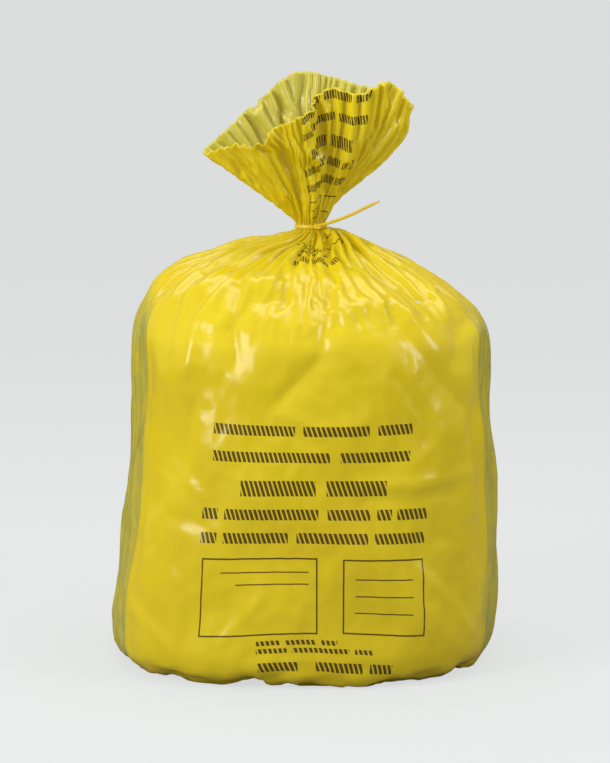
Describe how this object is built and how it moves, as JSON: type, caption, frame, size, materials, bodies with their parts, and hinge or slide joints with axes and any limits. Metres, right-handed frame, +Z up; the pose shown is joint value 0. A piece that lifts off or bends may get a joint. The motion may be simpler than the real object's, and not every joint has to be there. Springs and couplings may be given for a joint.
{
  "type": "clinical waste bag",
  "caption": "Filled yellow polythene clinical waste bag, gathered at its neck and closed with a cable tie, standing on its base.",
  "frame": {"origin": "on the floor under the middle of the bag's box", "axes": "+Z up from the base to the tied neck, the printed front towards -Y, +X to the right of someone facing the front"},
  "size_m": [0.415, 0.395, 0.6367],
  "materials": {
    "film": "glossy, slightly see-through yellow film",
    "fill": "matte, hidden",
    "tie": "satin yellow moulded nylon"
  },
  "bodies": {
    "root": {"sack_film": "film", "waste_fill": "fill", "cable_tie": "tie"}
  },
  "joints": []
}
